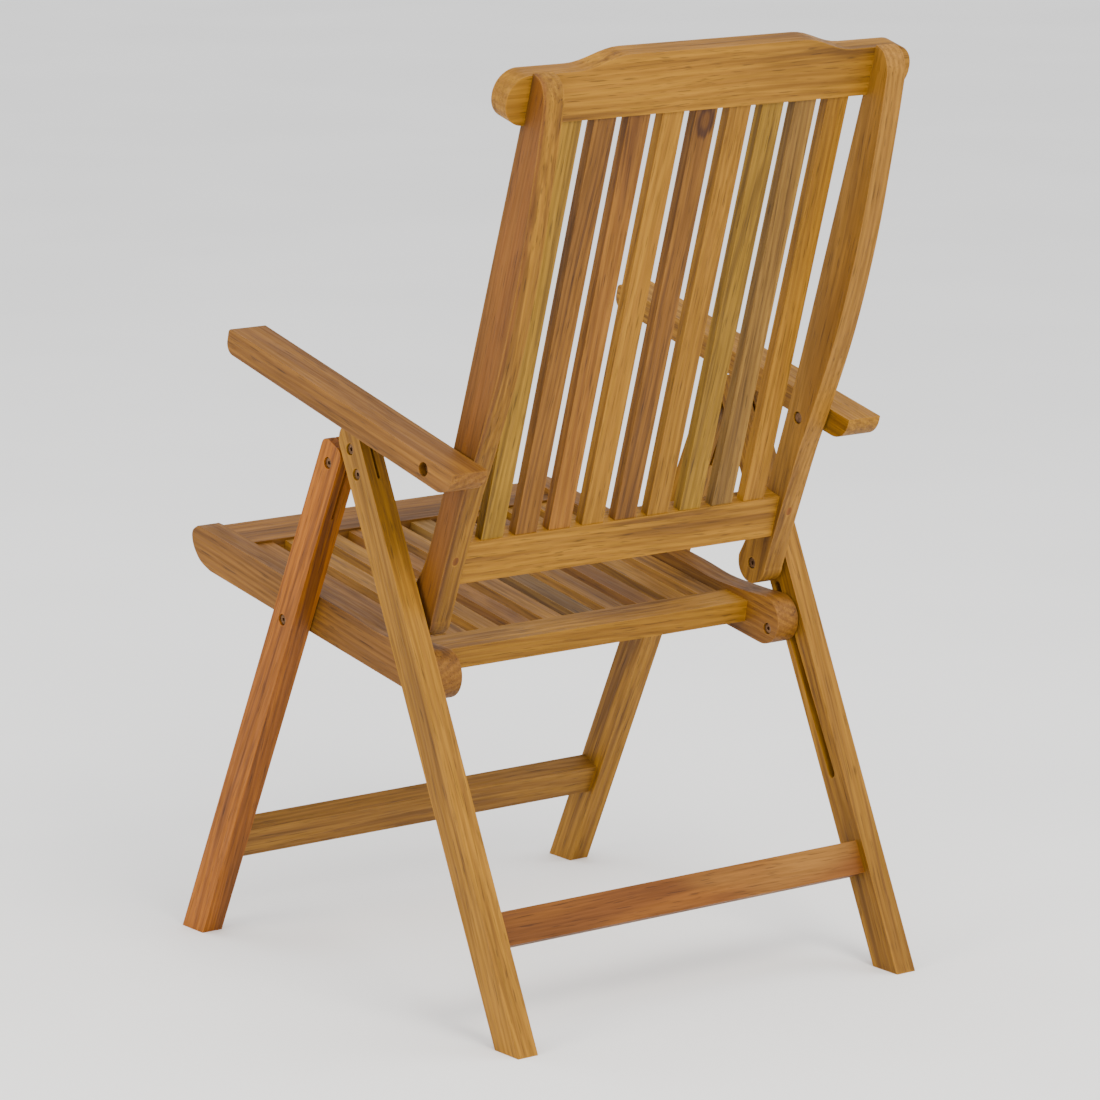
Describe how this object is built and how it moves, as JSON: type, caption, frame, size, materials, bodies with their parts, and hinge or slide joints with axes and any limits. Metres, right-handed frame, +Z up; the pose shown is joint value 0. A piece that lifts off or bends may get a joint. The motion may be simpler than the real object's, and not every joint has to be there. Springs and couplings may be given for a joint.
{
  "type": "folding deck chair",
  "caption": "High-backed folding wooden garden armchair: slatted reclining back and seat, bolted A-frame legs that fold flat, arms that pivot on the back.",
  "frame": {"origin": "on the floor, at the middle of the open chair's box seen from above", "axes": "+Z up, the chair faces -Y, +X is the sitter's left"},
  "size_m": [0.604, 0.6668, 1.0783],
  "materials": {
    "teak_tan": "oiled, semi-matt",
    "teak_gold": "oiled, semi-matt",
    "teak_red": "oiled, semi-matt",
    "steel": "zinc-plated, dulled",
    "brass": "plain"
  },
  "bodies": {
    "rear_legs": {"left_rear_leg": "teak_gold", "right_rear_leg": "teak_gold", "rear_stretcher": "teak_red", "left_hinge_plate": "steel", "right_hinge_plate": "steel", "plate_bolts": "steel", "pivot_inserts": "brass"},
    "front_legs": {"left_front_leg": "teak_gold", "right_front_leg": "teak_gold", "front_stretcher": "teak_tan", "leg_pivot_bolts": "steel", "leg_pivot_nuts": "steel", "seat_pivot_bolts": "steel", "seat_pivot_nuts": "steel", "seat_washers": "steel"},
    "seat": {"left_seat_rail": "teak_tan", "right_seat_rail": "teak_tan", "seat_front_rail": "teak_red", "seat_rear_rail": "teak_tan", "seat_slide_bolts": "steel", "seat_slat_1": "teak_tan", "seat_slat_2": "teak_tan", "seat_slat_3": "teak_tan", "seat_slat_4": "teak_tan", "seat_slat_5": "teak_tan", "seat_slat_6": "teak_tan", "seat_slat_7": "teak_tan", "seat_slat_8": "teak_tan", "seat_slat_9": "teak_tan", "seat_slat_10": "teak_tan"},
    "back_pivot": {"back_pivot_bolts": "steel", "back_spacers": "steel"},
    "backrest": {"left_back_stile": "teak_tan", "right_back_stile": "teak_tan", "back_top_rail": "teak_gold", "back_bottom_rail": "teak_tan", "back_plugs": "teak_red", "arm_washers": "steel", "back_slat_1": "teak_gold", "back_slat_2": "teak_tan", "back_slat_3": "teak_red", "back_slat_4": "teak_tan", "back_slat_5": "teak_tan", "back_slat_6": "teak_gold", "back_slat_7": "teak_gold", "back_slat_8": "teak_tan", "back_slat_9": "teak_tan"},
    "left_arm_pivot": {"left_arm_bolt": "steel", "left_arm_nut": "steel"},
    "right_arm_pivot": {"right_arm_bolt": "steel", "right_arm_nut": "steel"},
    "left_arm": {"left_armrest": "teak_tan"},
    "right_arm": {"right_armrest": "teak_tan"}
  },
  "joints": [
    {"name": "leg_fold", "type": "hinge", "parent": "rear_legs", "child": "front_legs", "pos_m": [0, -0.021, 0.598], "axis": [1, 0, 0], "range_deg": [0, 45]},
    {"name": "seat_hinge", "type": "hinge", "parent": "front_legs", "child": "seat", "pos_m": [0, -0.10933, 0.40418], "axis": [1, 0, 0], "range_deg": [-88, 0]},
    {"name": "back_fold", "type": "hinge", "parent": "back_pivot", "child": "rear_legs", "pos_m": [0, 0.1035, 0.4435], "axis": [-1, 0, 0], "range_deg": [0, 37]},
    {"name": "back_recline", "type": "hinge", "parent": "back_pivot", "child": "backrest", "pos_m": [0, 0.1035, 0.4435], "axis": [-1, 0, 0], "range_deg": [0, 24]},
    {"name": "left_arm_recline", "type": "hinge", "parent": "backrest", "child": "left_arm_pivot", "pos_m": [0, 0.18, 0.625], "axis": [1, 0, 0], "range_deg": [0, 17]},
    {"name": "right_arm_recline", "type": "hinge", "parent": "backrest", "child": "right_arm_pivot", "pos_m": [0, 0.18, 0.625], "axis": [1, 0, 0], "range_deg": [0, 17]},
    {"name": "left_arm_fold", "type": "hinge", "parent": "left_arm_pivot", "child": "left_arm", "pos_m": [0, 0.18, 0.625], "axis": [1, 0, 0], "range_deg": [-89, 0]},
    {"name": "right_arm_fold", "type": "hinge", "parent": "right_arm_pivot", "child": "right_arm", "pos_m": [0, 0.18, 0.625], "axis": [1, 0, 0], "range_deg": [-89, 0]}
  ],
  "couplings": [
    {"joint": "seat_hinge", "follows": "leg_fold", "ratio": -1.934},
    {"joint": "back_fold", "follows": "leg_fold", "ratio": 0.8},
    {"joint": "left_arm_recline", "follows": "back_recline", "ratio": 0.68},
    {"joint": "right_arm_recline", "follows": "back_recline", "ratio": 0.68},
    {"joint": "left_arm_fold", "follows": "leg_fold", "ratio": -1.944},
    {"joint": "right_arm_fold", "follows": "leg_fold", "ratio": -1.944}
  ]
}
